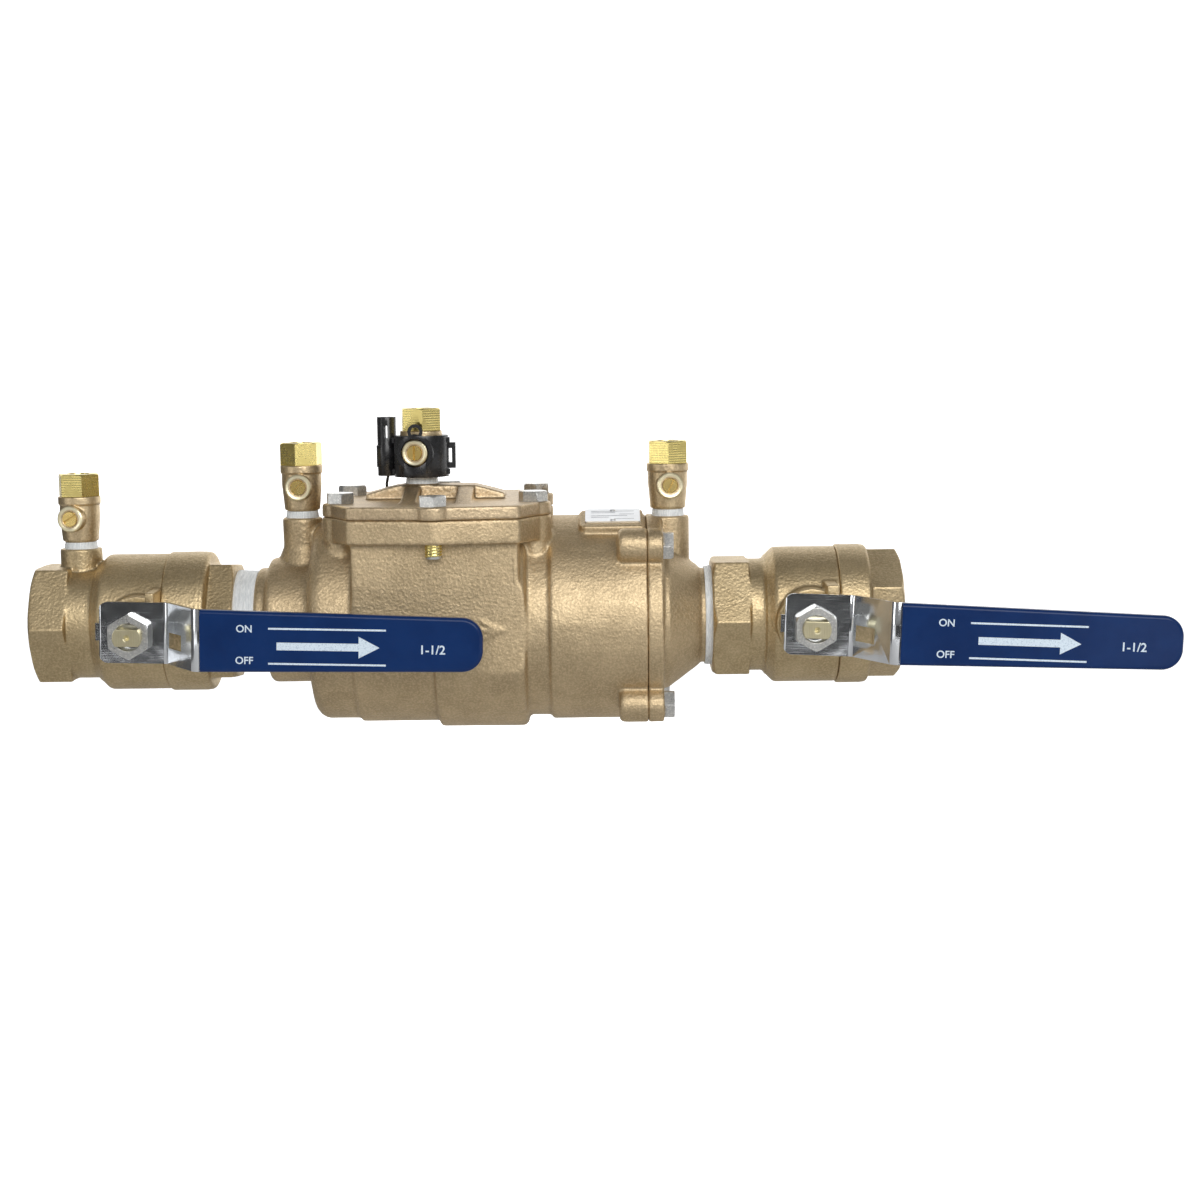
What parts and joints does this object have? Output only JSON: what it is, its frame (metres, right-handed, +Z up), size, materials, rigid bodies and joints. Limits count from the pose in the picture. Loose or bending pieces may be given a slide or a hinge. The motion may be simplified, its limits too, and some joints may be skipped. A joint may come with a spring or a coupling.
{
  "type": "backflow preventer",
  "caption": "Bronze double check valve assembly for an irrigation main, with a ball valve at each end, upright test cocks, a bolted top cover and blue lever grips.",
  "frame": {"origin": "centre of the inlet end face, on the pipe axis", "axes": "+X is the direction of flow, +Z is up towards the test cocks, -Y is the side of the levers"},
  "size_m": [0.5635, 0.1439, 0.1625],
  "materials": {
    "cast_bronze": "sand cast, satin",
    "valve_bronze": "cast and blasted, satin",
    "cock_bronze": "cast, satin",
    "turned_brass": "machined, bright",
    "chromed_ball": "polished chrome",
    "ptfe": "white, matte",
    "plated_steel": "bright zinc or nickel plate",
    "blue_vinyl": "dipped vinyl, glossy navy",
    "black_rubber": "matte",
    "zinc_steel": "zinc plated, dull",
    "plate_aluminium": "brushed",
    "spring_steel": "drawn stainless wire",
    "guide_plastic": "glass-filled nylon",
    "black_plastic": "moulded, semi-gloss"
  },
  "bodies": {
    "root": {"check_1_cage": "guide_plastic", "check_1_seat": "cast_bronze", "check_1_spring": "spring_steel", "check_2_cage": "guide_plastic", "check_2_seat": "cast_bronze", "check_2_spring": "spring_steel", "collar_front": "black_plastic", "collar_rear": "black_plastic", "collar_seal_tube": "black_plastic", "collar_tether": "black_plastic", "inlet_gland_nut": "turned_brass", "inlet_valve_body": "valve_bronze", "inlet_valve_end": "valve_bronze", "inlet_valve_seats": "ptfe", "main_body": "cast_bronze", "nameplate": "plate_aluminium", "nameplate_rivets": "plate_aluminium", "outlet_cover": "cast_bronze", "outlet_cover_bolts": "zinc_steel", "outlet_cover_seal": "black_rubber", "outlet_gland_nut": "turned_brass", "outlet_valve_body": "valve_bronze", "outlet_valve_end": "valve_bronze", "outlet_valve_seats": "ptfe", "pipe_thread_tape": "ptfe", "stem_packings": "ptfe", "test_cock_1_body": "cock_bronze", "test_cock_2_body": "cock_bronze", "test_cock_3_body": "cock_bronze", "test_cock_4_body": "cock_bronze", "test_cock_adapters": "turned_brass", "test_cock_seats": "ptfe", "test_cock_tape": "ptfe", "top_cover": "cast_bronze", "top_cover_bolts": "zinc_steel", "top_cover_seal": "black_rubber"},
    "inlet_lever_group": {"inlet_valve_ball": "chromed_ball", "inlet_valve_stem": "turned_brass", "inlet_lever": "plated_steel", "inlet_grip": "blue_vinyl", "inlet_lever_nut": "plated_steel"},
    "outlet_lever_group": {"outlet_valve_ball": "chromed_ball", "outlet_valve_stem": "turned_brass", "outlet_lever": "plated_steel", "outlet_grip": "blue_vinyl", "outlet_lever_nut": "plated_steel"},
    "test_cock_1_screw": {"test_cock_1_ball": "chromed_ball", "test_cock_1_plug": "turned_brass"},
    "test_cock_2_screw": {"test_cock_2_ball": "chromed_ball", "test_cock_2_plug": "turned_brass"},
    "test_cock_3_screw": {"test_cock_3_ball": "chromed_ball", "test_cock_3_plug": "turned_brass"},
    "test_cock_4_screw": {"test_cock_4_ball": "chromed_ball", "test_cock_4_plug": "turned_brass"},
    "check_1_moving": {"check_1_poppet": "guide_plastic", "check_1_disc": "black_rubber"},
    "check_2_moving": {"check_2_poppet": "guide_plastic", "check_2_disc": "black_rubber"}
  },
  "joints": [
    {"name": "inlet_lever_turn", "type": "hinge", "parent": "root", "child": "inlet_lever_group", "pos_m": [0.0567, 0, 0], "axis": [0, 1, 0], "range_deg": [0, 88.4]},
    {"name": "outlet_lever_turn", "type": "hinge", "parent": "root", "child": "outlet_lever_group", "pos_m": [0.3905, 0, 0], "axis": [0, 1, 0], "range_deg": [0, 87.4]},
    {"name": "test_cock_1_turn", "type": "hinge", "parent": "root", "child": "test_cock_1_screw", "pos_m": [0.0216, 0, 0.0538], "axis": [0.1736, 0.9848, 0], "range_deg": [-60, 30]},
    {"name": "test_cock_2_turn", "type": "hinge", "parent": "root", "child": "test_cock_2_screw", "pos_m": [0.1349, 0, 0.0683], "axis": [0.0262, 0.9997, 0], "range_deg": [-45, 45]},
    {"name": "test_cock_3_turn", "type": "hinge", "parent": "root", "child": "test_cock_3_screw", "pos_m": [0.196, 0, 0.085], "axis": [0.1908, 0.9816, 0], "range_deg": [0, 90]},
    {"name": "test_cock_4_turn", "type": "hinge", "parent": "root", "child": "test_cock_4_screw", "pos_m": [0.3207, 0, 0.0672], "axis": [-0.0698, 0.9976, 0], "range_deg": [-25, 65]},
    {"name": "check_1_open", "type": "slide", "parent": "root", "child": "check_1_moving", "axis": [1, 0, 0], "range_m": [0, 0.01], "stiffness_N_per_m": 500, "springref_m": -0.016, "deforming": ["check_1_spring"]},
    {"name": "check_2_open", "type": "slide", "parent": "root", "child": "check_2_moving", "axis": [1, 0, 0], "range_m": [0, 0.01], "stiffness_N_per_m": 500, "springref_m": -0.016, "deforming": ["check_2_spring"]}
  ]
}
